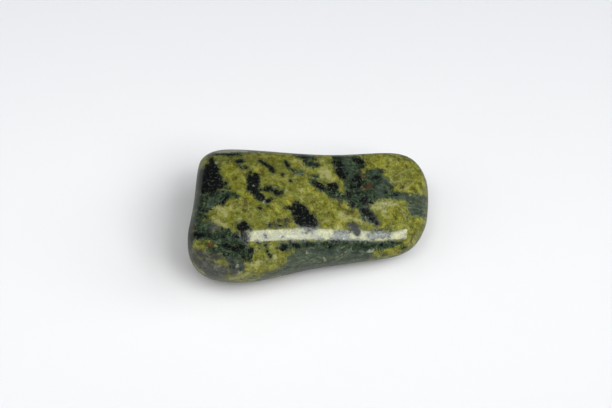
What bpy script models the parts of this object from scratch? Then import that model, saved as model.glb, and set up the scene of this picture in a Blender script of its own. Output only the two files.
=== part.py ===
"""A tumbled and polished serpentine pebble, made as one solid stone.

Metres, +Z up. X runs along the length, with the thick end at -X and the thin end at +X. The front is
at -Y. The stone stands on a small worn flat in the plane z = 0, and the middle of its outline seen from
above is the origin.
"""
import math
from collections import namedtuple

import bmesh
import bpy
from mathutils import Vector

MM = 0.001

# One crosswise section of the pebble, in millimetres: where it lies along X, the Y of its front and of
# its back, its height, the ways its top and front face in degrees from +Y over +Z, and the radii of its
# edges: the ridge at the top of the front, the crest at the top of the back, and the two lower edges.
Section = namedtuple("Section", "x front back height top_faces front_faces "
                                "ridge crest under_front under_back")
SECTIONS = (
    Section(-11.4, -14.3, 7.4, 13.2, 89.0, 176.0, 4.4, 4.6, 5.4, 5.0),
    Section(-6.8, -15.1, 7.2, 13.0, 86.5, 171.0, 4.3, 4.2, 5.4, 5.0),
    Section(-0.5, -11.9, 7.1, 11.1, 91.5, 174.0, 3.4, 3.2, 4.6, 4.2),
    Section(6.0, -10.0, 7.5, 9.3, 95.0, 175.0, 2.7, 2.4, 3.6, 3.6),
    Section(12.7, -9.0, 9.4, 8.0, 98.0, 168.5, 2.2, 2.4, 2.8, 3.0),
)

# The rounding of one end, in millimetres: how far it reaches past the last section, and how far the
# front, back, top and base draw in over that reach. The slant leans the end in plan, per unit of Y.
End = namedtuple("End", "reach front back top base slant bulge")
THICK_END = End(4.2, 5.2, 1.9, 3.0, 3.7, 0.11, -0.4)
THIN_END = End(4.85, 4.6, 4.1, 2.0, 1.5, 0.055, 0.8)

# How far the middle of each side stands out, in millimetres.
CROWN = {"top": 0.3, "front": 0.1, "base": 1.1, "back": 0.3}
BACK_FACES = 8.0     # degrees from +Y over +Z, as for the front
BASE_FACES = 270.0
BASE_RISE = 0.3      # how much higher the base is at the last sections than in the middle
EDGE_FADE = 0.6      # how much of the lengthwise edges' radius is gone at the very ends
REST_FLAT = 0.3      # how deep the base is worn away to make the flat that the stone stands on

SUBDIVISIONS = 2
TUMBLING = 7         # passes of smoothing that wear away what is left of the creases
COLOUR = (0.17, 0.19, 0.045, 1.0)
ROUGHNESS = 0.12


def clear_scene():
    for item in list(bpy.data.objects):
        bpy.data.objects.remove(item, do_unlink=True)


def facing(degrees):
    """The unit vector (Y, Z) of a side that faces this way."""
    angle = math.radians(degrees)
    return Vector((math.cos(angle), math.sin(angle)))


def spline_overshoot(degrees):
    """How far out the control points of a smooth arc lie, this far apart, for a radius of one."""
    return 3.0 / (2.0 + math.cos(math.radians(degrees)))


def edge_arc(first, second, radius):
    """Three control points of the rounded edge where two sides meet. A side is (degrees, distance)."""
    (angle_a, reach_a), (angle_b, reach_b) = first, second
    normal_a, normal_b = facing(angle_a), facing(angle_b)
    inner_a, inner_b = reach_a - radius, reach_b - radius
    centre = Vector((inner_a * normal_b.y - inner_b * normal_a.y,
                     inner_b * normal_a.x - inner_a * normal_b.x)) / normal_a.cross(normal_b)
    half_turn = (angle_b - angle_a) / 2.0
    out = radius * spline_overshoot(half_turn)
    return [centre + out * facing(angle_a + half_turn * step) for step in range(3)]


def side_line(degrees, point, draw_in):
    """The side that faces this way and passes through a point, moved inwards, as (degrees, distance)."""
    return degrees, facing(degrees).dot(Vector(point)) - draw_in


def section_ring(section, end, share):
    """Sixteen control points around a section, as (Y, Z), from the crest's middle over the top.

    The share is how much of the end's rounding has drawn the section in: 0 for none, 1 for all of it.
    """
    middle = (section.front + section.back) / 2.0
    half = section.height / 2.0
    top = side_line(section.top_faces, (middle, section.height), end.top * share)
    front = side_line(section.front_faces, (section.front, half), end.front * share)
    lift = CROWN["base"] + BASE_RISE * (section.x / SECTIONS[-1].x) ** 2
    base = side_line(BASE_FACES, (middle, lift), end.base * share)
    back = side_line(BACK_FACES, (section.back, half), end.back * share)
    fade = 1.0 - EDGE_FADE * max(share, 0.0)
    crest = edge_arc(back, top, section.crest * fade)
    ridge = edge_arc(top, front, section.ridge * fade)
    under_front = edge_arc(front, base, section.under_front * fade)
    under_back = edge_arc(base, (back[0] + 360.0, back[1]), section.under_back * fade)
    ring = []
    for arc, following, name, side in ((crest, ridge, "top", top), (ridge, under_front, "front", front),
                                       (under_front, under_back, "base", base),
                                       (under_back, crest, "back", back)):
        between = (arc[-1] + following[0]) / 2.0 + CROWN[name] * facing(side[0])
        ring += [arc[1], arc[2], between, following[0]]
    return ring


def stations():
    """Each ring of the cage, from the thick end to the thin end, as (X, section, end, share)."""
    rows = [(section.x, section, THIN_END, 0.0) for section in SECTIONS]
    overshoot = spline_overshoot(45.0)
    for degrees in (45.0, 90.0):
        share = 1.0 - overshoot * math.cos(math.radians(degrees))
        onward = overshoot * math.sin(math.radians(degrees))
        rows.insert(0, (SECTIONS[0].x - THICK_END.reach * onward, SECTIONS[0], THICK_END, share))
        rows.append((SECTIONS[-1].x + THIN_END.reach * onward, SECTIONS[-1], THIN_END, share))
    return rows


def slant_at(x):
    """The lean of the stone in plan, which goes evenly from one end's to the other's."""
    along = (x - SECTIONS[0].x) / (SECTIONS[-1].x - SECTIONS[0].x)
    return THICK_END.slant + (THIN_END.slant - THICK_END.slant) * min(max(along, 0.0), 1.0)


def end_patch(ring, bulge):
    """Rows of control points that fill an end ring. The middle stands out along X by the bulge."""
    side = len(ring) // 4
    edges = [[ring[(start * side + step) % len(ring)] for step in range(side + 1)] for start in range(4)]
    top, right, bottom, left = edges[0], edges[1], edges[2][::-1], edges[3][::-1]
    patch = []
    for row in range(side + 1):
        down = row / side
        line = []
        for column in range(side + 1):
            along = column / side
            point = (1.0 - down) * top[column] + down * bottom[column]
            point += (1.0 - along) * left[row] + along * right[row]
            point -= (1.0 - down) * ((1.0 - along) * top[0] + along * top[-1])
            point -= down * ((1.0 - along) * bottom[0] + along * bottom[-1])
            swell = 16.0 * down * (1.0 - down) * along * (1.0 - along)
            line.append(point + Vector((bulge * swell, 0.0, 0.0)))
        patch.append(line)
    return patch


def fill_end(bm, ring, bulge):
    """Close an end ring with a grid of four-sided faces."""
    patch = end_patch([vert.co.copy() for vert in ring], bulge)
    side = len(ring) // 4
    grid = [[None] * (side + 1) for _ in range(side + 1)]
    for step in range(side):
        grid[0][step] = ring[step]
        grid[step][side] = ring[side + step]
        grid[side][side - step] = ring[2 * side + step]
        grid[side - step][0] = ring[3 * side + step]
    for row in range(1, side):
        for column in range(1, side):
            grid[row][column] = bm.verts.new(patch[row][column])
    for upper, lower in zip(grid, grid[1:]):
        for column in range(side):
            bm.faces.new((upper[column], upper[column + 1], lower[column + 1], lower[column]))


def stone_cage():
    """The low, boxy cage of the whole stone, in metres."""
    bm = bmesh.new()
    rings = []
    for x, section, end, share in stations():
        points = section_ring(section, end, share)
        rings.append([bm.verts.new((x + slant_at(x) * point.x, point.x, point.y)) for point in points])
    for here, there in zip(rings, rings[1:]):
        for index in range(len(here)):
            after = (index + 1) % len(here)
            bm.faces.new((here[index], here[after], there[after], there[index]))
    fill_end(bm, rings[0], -THICK_END.bulge)
    fill_end(bm, rings[-1], THIN_END.bulge)
    bmesh.ops.recalc_face_normals(bm, faces=bm.faces)
    bmesh.ops.scale(bm, vec=(MM, MM, MM), verts=bm.verts)
    mesh = bpy.data.meshes.new("stone_cage")
    bm.to_mesh(mesh)
    bm.free()
    return mesh


def rounded(cage):
    """The smooth mesh that a Subdivision Surface makes of the cage."""
    helper = bpy.data.objects.new("stone_cage", cage)
    bpy.context.scene.collection.objects.link(helper)
    smooth = helper.modifiers.new("rounding", "SUBSURF")
    smooth.levels = smooth.render_levels = SUBDIVISIONS
    evaluated = helper.evaluated_get(bpy.context.evaluated_depsgraph_get())
    mesh = bpy.data.meshes.new_from_object(evaluated)
    bpy.data.objects.remove(helper, do_unlink=True)
    bpy.data.meshes.remove(cage)
    return mesh


def tumble(bm):
    for _ in range(TUMBLING):
        bmesh.ops.smooth_vert(bm, verts=bm.verts, factor=0.5, use_axis_x=True, use_axis_y=True,
                              use_axis_z=True)


def wear_flat(bm):
    """Wear the lowest part of the base away and close it with the flat that the stone stands on."""
    lowest = min(vert.co.z for vert in bm.verts)
    level = lowest + REST_FLAT * MM
    geometry = bm.verts[:] + bm.edges[:] + bm.faces[:]
    cut = bmesh.ops.bisect_plane(bm, geom=geometry, plane_co=(0.0, 0.0, level), plane_no=(0.0, 0.0, -1.0),
                                 clear_outer=True)
    rim = [item for item in cut["geom_cut"] if isinstance(item, bmesh.types.BMEdge)]
    bmesh.ops.contextual_create(bm, geom=rim)
    bmesh.ops.translate(bm, vec=(0.0, 0.0, -level), verts=bm.verts)


def centre_in_plan(bm):
    middle = []
    for axis in (0, 1):
        places = [vert.co[axis] for vert in bm.verts]
        middle.append((min(places) + max(places)) / 2.0)
    bmesh.ops.translate(bm, vec=(-middle[0], -middle[1], 0.0), verts=bm.verts)


def stone_material():
    material = bpy.data.materials.new("polished_serpentine")
    material.use_nodes = True
    shader = material.node_tree.nodes["Principled BSDF"]
    shader.inputs["Base Color"].default_value = COLOUR
    shader.inputs["Roughness"].default_value = ROUGHNESS
    shader.inputs["Metallic"].default_value = 0.0
    return material


def make_stone():
    mesh = rounded(stone_cage())
    mesh.name = "stone"
    bm = bmesh.new()
    bm.from_mesh(mesh)
    tumble(bm)
    wear_flat(bm)
    centre_in_plan(bm)
    for face in bm.faces:
        face.smooth = True
    bm.to_mesh(mesh)
    bm.free()
    mesh.materials.append(stone_material())
    stone = bpy.data.objects.new("stone", mesh)
    bpy.context.scene.collection.objects.link(stone)


def main():
    clear_scene()
    make_stone()


main()
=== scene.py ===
"""A tumbled and polished serpentine stone on a pale studio floor.

The stone is a fine mesh grown from the CAD node "stone". Its markings are strokes laid on that
mesh: every vertex keeps its distance to the nearest stroke of each mineral, and the material
turns those distances into ragged patches of colour. Nothing here moves, so all of it rides "root".
"""

import math
import random
from collections import namedtuple

import bmesh
import bpy
import numpy as np
from mathutils import Matrix, Vector, noise
from mathutils.bvhtree import BVHTree


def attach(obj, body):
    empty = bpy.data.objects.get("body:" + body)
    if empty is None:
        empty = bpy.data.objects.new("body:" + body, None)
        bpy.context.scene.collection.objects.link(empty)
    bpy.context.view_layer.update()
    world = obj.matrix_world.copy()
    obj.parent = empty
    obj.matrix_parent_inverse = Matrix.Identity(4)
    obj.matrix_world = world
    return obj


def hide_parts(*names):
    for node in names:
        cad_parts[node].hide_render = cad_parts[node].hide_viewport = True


MM = 0.001

# The camera looks along +Y and down, at a point in the stone. The lens is in millimetres.
AIM = Vector((-0.62, 3.3, 4.8)) * MM
CAMERA_ELEVATION = math.radians(52.0)
CAMERA_DISTANCE = 360.0 * MM
FOCAL_LENGTH = 141.2
SENSOR_WIDTH = 36.0
NEAR_CLIP = 0.01

# The line of sight: to the right in the picture, up in it, and back to the camera.
RIGHT = Vector((1.0, 0.0, 0.0))
UP = Vector((0.0, math.sin(CAMERA_ELEVATION), math.cos(CAMERA_ELEVATION)))
TOWARDS = Vector((0.0, -math.cos(CAMERA_ELEVATION), math.sin(CAMERA_ELEVATION)))

# How the solid's mesh is made finer: how near vertices are welded, the sharpest bend over which two
# triangles join into a quad, the extra cuts of each edge, and how often and how far it is smoothed.
WELD = 0.001 * MM
QUAD_BEND = math.radians(40.0)
GRID_CUTS = 2
ROUNDING_PASSES = 4
ROUNDING = 0.5

# The relief of the polish, in millimetres: (height, size) of slow swells, of finer ripples, and of the
# unevenness of the dark minerals, which comes in over the dark shore about their edge.
SWELL = (0.03, 5.0)
RIPPLE = (0.008, 1.6)
DARK_RELIEF = (0.0045, 0.42)
DARK_SHORE = 0.3

# Small hollows on the side that the camera sees: (across, up, radius, depth).
PITS = (
    (-6.15, -4.75, 0.3, 0.06), (-3.4, -5.0, 0.2, 0.035), (7.55, -4.4, 0.5, 0.055),
    (0.6, -4.1, 0.15, 0.02), (1.5, -4.2, 0.14, 0.02),
)

# Where the stone is a little fuller than its solid: (across, up, radius, height).
BULGES = ((-15.3, 6.0, 4.5, 0.34), (-17.2, -6.9, 3.6, 0.28))

# A mark is a few strokes of one mineral. A stroke is a spot or a chain of spots. A spot is (across, up,
# radius) in millimetres, seen along the line of sight, with the aim point as its origin.
Mark = namedtuple("Mark", "name mineral strokes")
MINERALS = ("black", "green", "grey", "slate_and_sheen", "pale", "white", "vein", "rust", "brown", "dull")

# The distance that stands for any greater one, and how much depth along the sight counts in it.
FAR = 3.0
DEPTH_WEIGHT = 0.4

# How far a patch swells and shrinks along its edge: (part of its radius, size of a lump).
LUMPS = ((0.34, 1.3), (0.34, 0.55))

MARKS = (
    Mark("upper left patch", "black", (
        ((-14.2, 6.7, 0.34), (-14.1, 5.9, 0.48)), ((-15.0, 4.9, 0.69), (-13.7, 4.9, 0.69)),
        ((-15.4, 3.9, 0.81), (-14.4, 3.9, 0.9), (-13.4, 4.0, 0.84)),
        ((-15.4, 2.8, 0.84), (-14.2, 2.8, 0.9), (-13.0, 3.0, 0.75)),
        ((-15.6, 4.8, 0.48), (-15.9, 3.7, 0.57), (-16.0, 2.5, 0.48)),
        ((-14.8, 5.5, 0.45), (-13.7, 5.6, 0.42)), (-12.1, 3.1, 0.34),
        ((-15.4, 2.2, 0.63), (-13.9, 2.2, 0.63)), (-14.2, 1.5, 0.34),
    )),
    Mark("flecks under it", "black", (
        ((-12.5, 0.1, 0.22), (-12.1, 0.7, 0.22), (-11.8, 1.3, 0.33)), (-12.8, 1.0, 0.24),
        (-12.4, 1.8, 0.19), (-16.0, -0.5, 0.27), (-15.4, -0.8, 0.19), (-14.8, -1.0, 0.21),
        (-15.0, -1.9, 0.24), (-16.1, -1.5, 0.18), (-11.1, 1.6, 0.16),
    )),
    Mark("black flecks at the left end", "black", (
        (-17.0, -5.1, 0.21), ((-16.6, -4.6, 0.33), (-15.9, -4.7, 0.39), (-15.2, -4.6, 0.36)),
        (-14.6, -4.7, 0.27), (-13.3, -4.0, 0.18), (-12.6, -3.7, 0.19), (-11.5, -4.0, 0.24),
        (-12.4, -4.9, 0.27), (-13.0, -6.4, 0.22),
        ((-12.1, -6.2, 0.36), (-11.4, -6.5, 0.45), (-10.5, -6.7, 0.45), (-9.4, -6.4, 0.39)),
        (-9.0, -5.6, 0.33), ((-10.8, -4.8, 0.27), (-10.2, -4.9, 0.27)), (-8.4, -6.9, 0.43),
        (-9.4, -7.1, 0.24), (-9.4, -7.9, 0.3), (-8.6, -8.2, 0.28),
        ((-12.3, -7.6, 0.18), (-11.4, -7.7, 0.18)), (-16.6, -3.6, 0.18),
    )),
    Mark("patch left of the gleam", "black", (
        ((-9.9, -3.4, 0.58), (-9.3, -3.2, 0.58), (-8.7, -3.6, 0.46), (-8.3, -3.9, 0.22)),
        (-9.4, -3.9, 0.45), ((-9.3, -4.4, 0.54), (-9.1, -5.1, 0.54)),
    )),
    Mark("specks at the upper left", "black", (
        ((-10.1, 6.4, 0.33), (-9.7, 6.4, 0.28)), (-9.8, 5.5, 0.13), ((-9.1, 5.5, 0.22), (-8.8, 5.4, 0.12)),
        ((-8.4, 4.8, 0.24), (-8.1, 4.8, 0.15)),
    )),
    Mark("hook", "black", (
        ((-8.3, 4.1, 0.33), (-8.3, 3.1, 0.48), (-8.4, 2.5, 0.51)),
        ((-7.5, 4.3, 0.43), (-7.4, 3.3, 0.43), (-7.6, 2.4, 0.48)), ((-7.9, 3.7, 0.39), (-7.9, 3.0, 0.48)),
        ((-7.9, 2.1, 0.48), (-7.2, 1.5, 0.45), (-6.6, 0.9, 0.45), (-6.2, 0.5, 0.27)),
        ((-6.2, 0.5, 0.25), (-5.7, 0.5, 0.31), (-5.2, 0.7, 0.18)),
        ((-6.2, 2.3, 0.36), (-5.4, 2.3, 0.42), (-4.9, 2.3, 0.24)),
        ((-5.0, 2.0, 0.33), (-4.3, 1.7, 0.43), (-3.7, 1.7, 0.25)), (-4.1, 2.1, 0.16),
    )),
    Mark("streak over the hook", "black", (
        ((-7.1, 6.5, 0.16), (-6.6, 6.3, 0.22), (-6.0, 5.9, 0.28), (-5.6, 5.6, 0.3), (-5.1, 5.2, 0.34),
         (-4.9, 4.9, 0.22)),
        ((-3.1, 6.4, 0.22), (-2.7, 5.8, 0.22)),
    )),
    Mark("small spots", "black", (
        (-6.9, -0.6, 0.3), (-3.5, 4.4, 0.24), (-2.4, 3.5, 0.25), (-3.0, -0.6, 0.21), (-8.2, 4.7, 0.24),
    )),
    Mark("lozenge", "black", (
        ((-1.3, 0.3, 0.28), (-1.4, -0.3, 0.57)), ((-2.8, -0.6, 0.24), (-1.9, -0.7, 0.51)),
        ((-0.9, -0.4, 0.48), (-0.1, -1.1, 0.43)),
        ((-1.3, -1.3, 0.87), (-0.4, -1.9, 1.05), (0.4, -2.5, 0.96), (1.0, -3.1, 0.69)),
        ((-1.6, -2.1, 0.48), (-0.6, -2.9, 0.66)), ((0.9, -1.8, 0.36), (1.4, -2.5, 0.36), (1.6, -3.3, 0.24)),
        ((0.3, -3.4, 0.57), (1.3, -3.6, 0.39)),
    )),
    Mark("dashes in the middle", "black", (
        ((1.2, 3.3, 0.31), (1.8, 3.0, 0.46), (2.4, 2.5, 0.4), (2.8, 2.3, 0.22)),
        ((3.5, 2.9, 0.39), (4.3, 2.8, 0.49), (4.5, 2.5, 0.39)), (3.7, 2.3, 0.36), (4.3, 1.7, 0.22),
        (4.9, 1.2, 0.19),
    )),
    Mark("cores on the top edge", "black", (
        (0.0, 6.4, 0.22), (0.8, 6.1, 0.28), (1.6, 5.9, 0.22), ((-0.6, 7.1, 0.24), (0.1, 6.9, 0.25)),
    )),
    Mark("cores of the upper right patch", "black", (
        (4.2, 6.3, 0.33), ((5.0, 6.0, 0.51), (5.2, 5.4, 0.33)),
        ((4.8, 5.1, 0.48), (5.2, 4.5, 0.55), (5.7, 4.0, 0.4)), (6.1, 4.6, 0.33), (7.2, 6.6, 0.27),
        ((7.8, 6.5, 0.36), (8.3, 6.3, 0.39), (8.6, 5.8, 0.25)),
        ((7.0, 3.6, 0.31), (7.8, 3.9, 0.48), (8.2, 3.4, 0.31), (7.9, 2.8, 0.27), (7.3, 2.5, 0.31),
         (6.8, 2.6, 0.31), (6.7, 3.1, 0.19)),
        (8.8, 3.4, 0.24), ((10.3, 3.9, 0.34), (10.8, 4.0, 0.24)), (11.3, 4.9, 0.24),
        ((6.4, 1.6, 0.33), (6.5, 1.0, 0.39)), ((6.9, 0.4, 0.31), (7.1, -0.1, 0.39)), (7.8, 1.6, 0.3),
        ((9.0, 1.0, 0.4), (8.7, 0.4, 0.45), (8.2, 0.6, 0.27)), (9.6, 0.3, 0.3), (10.1, 0.2, 0.16),
        (12.8, 2.5, 0.31), ((12.9, 1.3, 0.27), (13.5, 1.4, 0.22)), (12.0, 1.6, 0.22),
        ((8.4, -0.9, 0.39), (9.0, -1.0, 0.45)), ((9.1, -1.6, 0.36), (9.8, -1.5, 0.34)), (8.5, -1.7, 0.22),
        ((9.7, -2.1, 0.33), (10.2, -2.4, 0.42), (10.6, -2.8, 0.39)),
    )),
    Mark("spot that breaks the gleam", "black", (
        ((6.5, -3.1, 0.22), (7.0, -3.3, 0.42), (7.6, -3.6, 0.36)), ((7.1, -3.8, 0.39), (7.6, -4.3, 0.39)),
    )),
    Mark("flecks that speckle the gleam", "black", (
        (4.6, -4.3, 0.13), (4.7, -4.9, 0.16), (5.2, -4.5, 0.12), (5.8, -4.2, 0.1), (6.0, -4.9, 0.13),
        (5.2, -5.2, 0.15), (9.4, -4.6, 0.13), (9.8, -4.3, 0.12), (10.2, -4.9, 0.15), (10.5, -4.1, 0.12),
        (10.9, -4.7, 0.12), (11.4, -3.9, 0.13), (11.5, -4.9, 0.12), (12.2, -4.0, 0.13), (12.3, -4.9, 0.13),
        (12.6, -4.4, 0.1), (0.3, -4.0, 0.13), (0.8, -4.3, 0.12), (-0.1, -3.8, 0.12), (-0.4, -4.3, 0.1),
        (0.1, -4.5, 0.12), (0.7, -4.7, 0.1), (1.1, -3.9, 0.12),
    )),
    Mark("cores under the gleam", "black", (
        (-3.3, -6.5, 0.51), ((-2.3, -5.5, 0.25), (-2.2, -5.9, 0.21)),
        ((-1.6, -6.3, 0.43), (-1.0, -6.4, 0.28)), (0.2, -6.1, 0.31), (-0.4, -5.5, 0.12), (2.0, -5.3, 0.22),
        ((4.0, -5.5, 0.36), (4.5, -5.5, 0.39)), (3.7, -6.4, 0.42), (6.1, -5.9, 0.22), (7.8, -5.6, 0.19),
        (9.4, -5.7, 0.22), ((11.1, -6.3, 0.18), (11.5, -5.9, 0.19)), (13.0, -5.8, 0.15),
    )),
    Mark("specks over the gleam", "black", (
        (-5.5, -3.3, 0.18), (-4.6, -3.0, 0.13), (-3.8, -3.3, 0.19), (-3.1, -3.1, 0.16), (-4.2, -2.5, 0.15),
        (-2.9, -2.5, 0.16), ((-6.2, -4.6, 0.13), (-6.0, -5.0, 0.15)), (-3.4, -4.9, 0.12),
    )),
    Mark("specks under the gleam", "black", (
        ((-7.3, -5.6, 0.21), (-6.7, -5.9, 0.16)), (-6.1, -6.1, 0.28), (-6.9, -6.7, 0.16),
        ((-5.9, -6.9, 0.18), (-5.6, -7.3, 0.15), (-5.4, -7.8, 0.18)), (-4.3, -6.6, 0.16),
        ((14.4, -6.7, 0.18), (14.9, -6.5, 0.12)), (11.6, -7.6, 0.12),
    )),
    Mark("line along the top of the left end", "black", (
        ((-13.5, 7.5, 0.12), (-12.3, 7.4, 0.13), (-11.1, 7.4, 0.18), (-10.2, 7.5, 0.15)),
    )),
    Mark("cores in the slate", "black", (
        (-11.2, -8.7, 0.15), (-10.7, -9.5, 0.19), (-10.0, -8.9, 0.15), (-9.8, -9.7, 0.15),
        (-11.5, -9.4, 0.1), (-14.5, -6.5, 0.12),
    )),
    Mark("left end", "green", (
        ((-15.9, 1.3, 0.9), (-16.0, 0.1, 0.99), (-16.0, -1.2, 1.11), (-16.2, -2.5, 0.96),
         (-15.7, -3.9, 1.05)),
        ((-16.5, 2.2, 0.6), (-16.8, 1.2, 0.75), (-17.0, -0.6, 0.75), (-17.2, -2.7, 0.75),
         (-17.4, -4.8, 0.75), (-17.3, -6.4, 0.45)),
        ((-14.7, 0.9, 0.9), (-14.4, -0.1, 0.75)),
        ((-13.5, 1.5, 0.67), (-12.4, 1.5, 0.67), (-11.2, 1.5, 0.6), (-10.3, 1.0, 0.33)),
        ((-12.9, 0.4, 0.66), (-13.9, 0.1, 0.54)), ((-12.0, 2.4, 0.42), (-11.2, 2.2, 0.27)),
    )),
    Mark("middle of the left end", "green", (
        ((-14.4, -3.0, 0.54), (-14.7, -3.9, 0.75)), ((-16.0, -4.7, 0.6), (-14.8, -4.7, 0.6)),
        ((-13.9, -4.9, 0.75), (-12.6, -4.8, 0.84), (-11.7, -4.4, 0.69)),
        ((-13.8, -5.6, 0.51), (-12.9, -5.8, 0.84), (-11.7, -5.7, 0.9), (-10.6, -5.5, 0.81)),
        (-10.5, -4.9, 0.6), ((-12.3, -6.7, 0.9), (-10.9, -7.1, 0.9), (-9.6, -7.0, 0.9)),
        ((-9.7, -5.7, 0.84), (-9.4, -6.6, 0.9)), ((-8.5, -7.2, 0.66), (-8.4, -8.1, 0.51)),
        ((-14.9, -6.7, 0.3), (-14.1, -6.7, 0.48), (-13.5, -7.0, 0.57)),
        ((-11.7, -7.9, 0.54), (-10.3, -8.2, 0.54), (-9.4, -8.0, 0.6)),
        ((-9.6, -8.8, 0.33), (-9.4, -9.7, 0.24)),
    )),
    Mark("marks on the top edge", "green", (
        ((-2.1, 7.5, 0.27), (-1.2, 7.2, 0.42), (-0.1, 7.0, 0.51), (0.9, 6.8, 0.51), (1.5, 6.7, 0.36)),
        ((-0.2, 6.4, 0.39), (0.4, 6.1, 0.49), (1.2, 6.0, 0.52), (1.7, 5.8, 0.33)),
        ((-2.7, 5.6, 0.18), (-2.2, 5.2, 0.27), (-1.7, 4.8, 0.31)),
    )),
    Mark("hollow of the hook", "green", (
        (-6.7, 2.1, 0.33), (-8.7, 3.3, 0.28), ((-8.4, 3.4, 0.6), (-7.9, 2.1, 0.66), (-6.9, 1.2, 0.6)),
        (-9.8, 6.4, 0.45), (-9.7, 7.4, 0.18),
    )),
    Mark("arm in the middle", "green", (
        ((0.7, 4.2, 0.22), (1.5, 4.0, 0.39)),
        ((0.6, 3.8, 0.24), (0.9, 3.3, 0.33), (1.6, 2.7, 0.45), (2.5, 2.2, 0.39)),
        ((3.1, 1.9, 0.51), (4.0, 1.5, 0.66), (4.9, 1.2, 0.63), (5.8, 1.0, 0.54)),
    )),
    Mark("upper right patch", "green", (
        ((4.5, 6.9, 0.63), (5.8, 6.7, 0.67), (7.2, 6.7, 0.67), (8.1, 6.6, 0.45)),
        ((5.1, 5.8, 0.78), (6.4, 5.5, 1.05), (7.8, 5.7, 0.84)),
        ((5.5, 4.8, 0.66), (6.9, 4.5, 1.05), (7.9, 4.5, 0.84)),
        ((6.7, 3.3, 1.05), (7.8, 3.0, 1.35), (7.0, 1.6, 1.2)), ((9.6, 4.6, 0.75), (10.8, 4.6, 0.75)),
        ((9.3, 3.0, 1.27), (11.1, 3.0, 1.12), (12.1, 2.8, 0.9)),
        ((8.1, 1.3, 1.35), (10.2, 1.5, 1.05), (12.0, 1.5, 0.84), (13.2, 1.4, 0.6), (14.1, 1.4, 0.39)),
        ((6.9, 0.6, 0.84), (8.2, 0.1, 0.99), (8.8, 0.1, 0.6)),
        ((8.5, -1.0, 0.75), (9.2, -1.6, 0.9), (10.0, -2.2, 0.78), (10.6, -2.8, 0.51)),
    )),
    Mark("right end patch", "green", (
        ((15.2, 1.0, 0.39), (15.6, 0.0, 0.33)), ((16.0, -1.2, 0.48), (17.1, -1.5, 0.39)), (17.7, 1.0, 0.3),
    )),
    Mark("band under the gleam", "green", (
        ((-3.4, -6.4, 0.6), (-2.1, -6.3, 0.66), (-0.3, -6.2, 0.6), (2.1, -6.1, 0.72), (5.1, -6.0, 0.81),
         (8.1, -6.1, 0.81), (11.1, -6.3, 0.69), (12.7, -6.1, 0.57), (14.1, -5.8, 0.3)),
        ((-0.3, -7.0, 0.45), (3.6, -6.9, 0.6), (6.9, -6.8, 0.6), (9.6, -6.7, 0.45)),
        ((15.3, -7.0, 0.19), (16.2, -6.5, 0.15)),
    )),
    Mark("patches that speckle the gleam", "green", (
        ((4.8, -4.5, 0.54), (5.8, -4.7, 0.63)), ((9.9, -4.9, 0.54), (10.9, -4.5, 0.78), (12.0, -4.6, 0.63)),
    )),
    # A painted reflection: the pale sliver that the rounded crest of the thick end reflects.
    Mark("along the top of the left end", "slate_and_sheen", (
        ((-14.3, 7.5, 0.25), (-13.0, 7.8, 0.39), (-11.4, 7.8, 0.45), (-9.9, 7.8, 0.39), (-8.4, 7.9, 0.24),
         (-7.5, 7.8, 0.12)),
    )),
    Mark("lower left corner", "slate_and_sheen", (
        ((-17.4, -6.3, 0.36), (-17.5, -7.0, 0.51), (-16.9, -7.9, 0.69), (-16.2, -8.7, 0.75)),
        ((-16.5, -7.4, 0.51), (-15.3, -7.6, 0.63), (-14.1, -7.8, 0.63), (-13.0, -7.9, 0.51)),
        ((-15.4, -9.3, 0.9), (-14.4, -9.9, 0.9), (-13.3, -10.0, 0.87), (-12.3, -9.9, 0.75)),
        ((-14.8, -10.7, 0.63), (-13.6, -11.1, 0.6), (-12.5, -10.9, 0.54)),
        ((-15.1, -8.4, 0.57), (-14.2, -8.9, 0.45)),
        ((-11.5, -8.6, 0.6), (-10.6, -9.0, 0.84), (-9.9, -9.5, 0.75)),
        ((-11.2, -9.9, 0.63), (-10.3, -10.2, 0.54)),
    )),
    Mark("cores of the lower left corner", "green", (
        ((-11.3, -8.2, 0.33), (-10.8, -8.8, 0.36), (-10.9, -9.4, 0.3)),
        ((-10.6, -9.9, 0.3), (-9.9, -9.9, 0.27)), (-9.8, -8.9, 0.27),
        ((-14.2, -9.5, 0.19), (-13.5, -9.9, 0.22)), ((-16.2, -8.3, 0.18), (-15.6, -9.0, 0.18)),
        (-15.1, -10.1, 0.16), (-17.3, -7.5, 0.15),
    )),
    Mark("sheen beside the left end", "slate_and_sheen", (
        ((-14.1, -3.7, 0.45), (-13.5, -3.4, 0.48), (-13.0, -4.0, 0.39)), (-13.5, 2.1, 0.24),
    )),
    Mark("foot of the front", "grey", (
        ((-7.8, -11.8, 0.24), (-7.0, -11.4, 0.42), (-5.7, -10.7, 0.57), (-4.0, -10.1, 0.69),
         (-2.5, -9.7, 0.78)),
        ((-1.9, -7.8, 0.84), (0.0, -7.9, 1.11), (2.4, -7.8, 0.96), (5.1, -7.6, 0.93), (7.5, -7.6, 0.75),
         (9.3, -7.5, 0.51)),
        ((-2.1, -9.1, 1.05), (0.3, -8.8, 1.05), (2.8, -8.5, 0.99), (5.4, -8.2, 0.9), (7.8, -7.9, 0.78),
         (9.6, -7.8, 0.54)),
        ((-3.0, -10.4, 0.75), (-0.9, -10.0, 0.84), (2.1, -9.5, 0.81), (5.8, -9.0, 0.75), (9.0, -8.5, 0.63)),
        ((-2.7, -9.6, 0.69), (-1.0, -9.4, 0.75), (0.9, -9.1, 0.75)), ((5.1, -7.2, 0.75), (7.5, -8.0, 0.75)),
        ((-1.2, -7.0, 0.6), (1.8, -7.0, 0.6)),
    )),
    Mark("shade at the right of the front", "green", (
        ((5.4, -7.5, 0.3), (6.9, -7.3, 0.39), (8.5, -7.3, 0.36)), ((6.3, -8.5, 0.21), (7.6, -8.2, 0.24)),
        (4.2, -8.6, 0.18), ((8.7, -7.8, 0.36), (9.7, -7.4, 0.27)),
    )),
    Mark("lights in the upper right patch", "grey", (
        ((6.0, 6.7, 0.33), (6.1, 5.8, 0.39), (6.6, 4.9, 0.33)), (6.9, 4.1, 0.27),
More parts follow.
